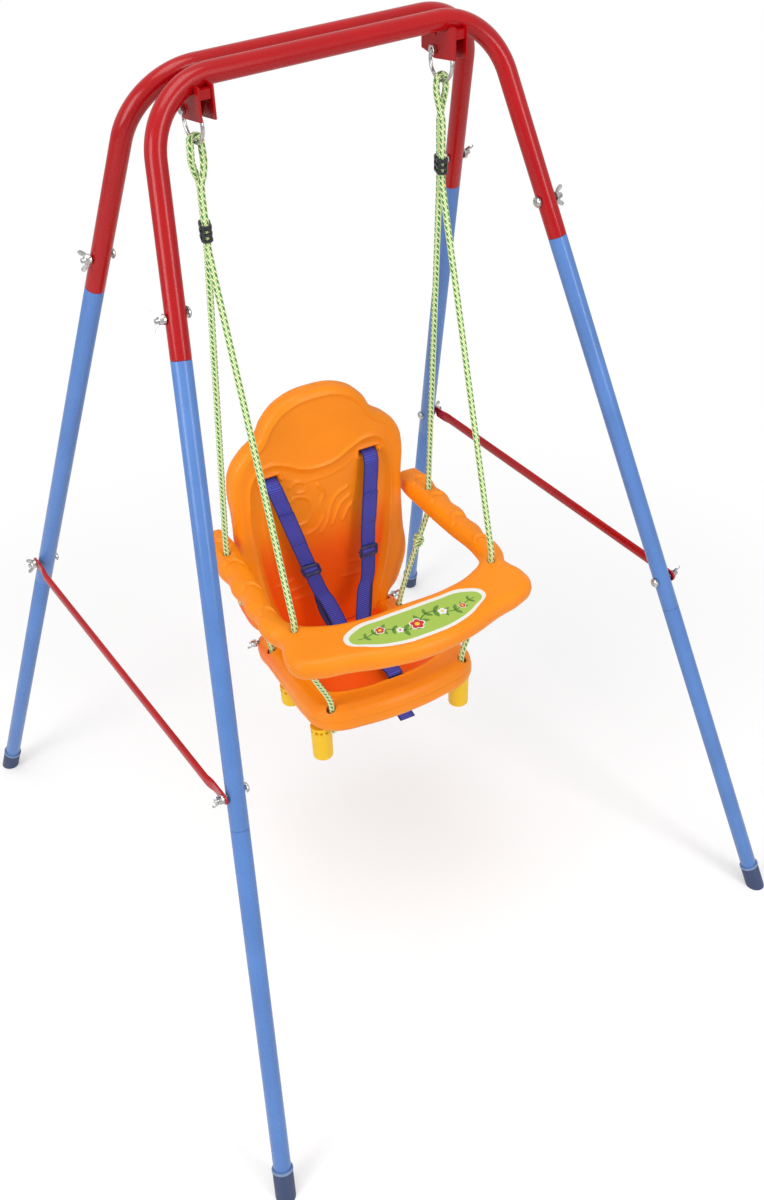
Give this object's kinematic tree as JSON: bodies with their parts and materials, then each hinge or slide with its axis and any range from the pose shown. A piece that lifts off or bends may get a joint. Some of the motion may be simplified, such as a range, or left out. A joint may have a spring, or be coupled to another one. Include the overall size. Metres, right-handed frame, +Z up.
{
  "type": "toddler swing set",
  "caption": "Folding A-frame toddler swing in red and blue steel tube, with an orange bucket seat hung on green ropes.",
  "frame": {"origin": "on the floor under the middle of the frame", "axes": "+Z up, +X to the right as seen from the front along the top bars, and the child faces -Y"},
  "size_m": [0.8534, 0.9298, 1.2011],
  "materials": {
    "red_paint": "gloss",
    "blue_paint": "gloss",
    "plated_steel": "polished",
    "cap_plastic": "matte",
    "orange_plastic": "satin",
    "yellow_plastic": "satin",
    "rope_yarn": "braided",
    "webbing": "woven",
    "dark_plastic": "satin",
    "decal_film": "gloss"
  },
  "bodies": {
    "front_frame": {"front_top_rail": "red_paint", "front_left_upper_leg": "blue_paint", "front_right_upper_leg": "blue_paint", "front_left_lower_leg": "blue_paint", "front_right_lower_leg": "blue_paint", "front_left_foot_cap": "cap_plastic", "front_right_foot_cap": "cap_plastic", "front_left_joint_bolt": "plated_steel", "front_right_joint_bolt": "plated_steel", "front_left_brace_bolt": "plated_steel", "front_right_brace_bolt": "plated_steel", "front_left_bracket": "red_paint", "front_right_bracket": "red_paint", "left_pivot_bolt": "plated_steel", "right_pivot_bolt": "plated_steel", "left_pivot_nut": "plated_steel", "right_pivot_nut": "plated_steel"},
    "rear_frame": {"rear_top_rail": "red_paint", "rear_left_upper_leg": "blue_paint", "rear_right_upper_leg": "blue_paint", "rear_left_lower_leg": "blue_paint", "rear_right_lower_leg": "blue_paint", "rear_left_foot_cap": "cap_plastic", "rear_right_foot_cap": "cap_plastic", "rear_left_joint_bolt": "plated_steel", "rear_right_joint_bolt": "plated_steel", "rear_left_brace_bolt": "plated_steel", "rear_right_brace_bolt": "plated_steel", "rear_left_bracket": "red_paint", "rear_right_bracket": "red_paint"},
    "left_brace": {"left_brace": "red_paint"},
    "right_brace": {"right_brace": "red_paint"},
    "swing": {"left_ring": "plated_steel", "right_ring": "plated_steel", "left_upper_rope": "rope_yarn", "right_upper_rope": "rope_yarn", "left_lower_rope": "rope_yarn", "right_lower_rope": "rope_yarn", "backrest": "orange_plastic", "seat_base": "orange_plastic", "left_seat_bolt": "plated_steel", "right_seat_bolt": "plated_steel", "front_left_seat_foot": "yellow_plastic", "front_right_seat_foot": "yellow_plastic", "rear_left_seat_foot": "yellow_plastic", "rear_right_seat_foot": "yellow_plastic", "left_shoulder_strap": "webbing", "right_shoulder_strap": "webbing", "crotch_strap": "webbing", "harness_buckle": "dark_plastic"},
    "guard": {"guard": "orange_plastic", "guard_decal": "decal_film"},
    "left_rope_adjuster": {"left_rope_adjuster": "dark_plastic"},
    "right_rope_adjuster": {"right_rope_adjuster": "dark_plastic"},
    "left_strap_slider": {"left_strap_slider": "dark_plastic"},
    "right_strap_slider": {"right_strap_slider": "dark_plastic"}
  },
  "joints": [
    {"name": "frame_fold", "type": "hinge", "parent": "front_frame", "child": "rear_frame", "pos_m": [0, 0, 1.156], "axis": [1, 0, 0], "range_deg": [-40, 0]},
    {"name": "left_brace_pivot", "type": "hinge", "parent": "front_frame", "child": "left_brace", "pos_m": [-0.34, -0.26487, 0.50896], "axis": [1, 0, 0], "range_deg": [0, 70]},
    {"name": "right_brace_pivot", "type": "hinge", "parent": "front_frame", "child": "right_brace", "pos_m": [0.34, -0.26487, 0.50896], "axis": [1, 0, 0], "range_deg": [0, 70]},
    {"name": "swing_pivot", "type": "hinge", "parent": "front_frame", "child": "swing", "pos_m": [0, 0, 1.156], "axis": [1, 0, 0], "range_deg": [-30, 30]},
    {"name": "guard_lift", "type": "slide", "parent": "swing", "child": "guard", "axis": [0, 0, 1], "range_m": [0, 0.1], "deforming": ["left_upper_rope", "right_upper_rope", "left_lower_rope", "right_lower_rope"]},
    {"name": "left_adjuster_slide", "type": "slide", "parent": "swing", "child": "left_rope_adjuster", "axis": [0, 0, 1], "range_m": [0, 0.04]},
    {"name": "right_adjuster_slide", "type": "slide", "parent": "swing", "child": "right_rope_adjuster", "axis": [0, 0, 1], "range_m": [0, 0.04]},
    {"name": "left_slider_slide", "type": "slide", "parent": "swing", "child": "left_strap_slider", "axis": [-0.2431, 0.153, 0.9578], "range_m": [-0.018, 0.018]},
    {"name": "right_slider_slide", "type": "slide", "parent": "swing", "child": "right_strap_slider", "axis": [0.1204, 0.1153, 0.986], "range_m": [-0.018, 0.018]}
  ],
  "couplings": [
    {"joint": "left_brace_pivot", "follows": "frame_fold", "ratio": -1.75},
    {"joint": "right_brace_pivot", "follows": "frame_fold", "ratio": -1.75}
  ]
}
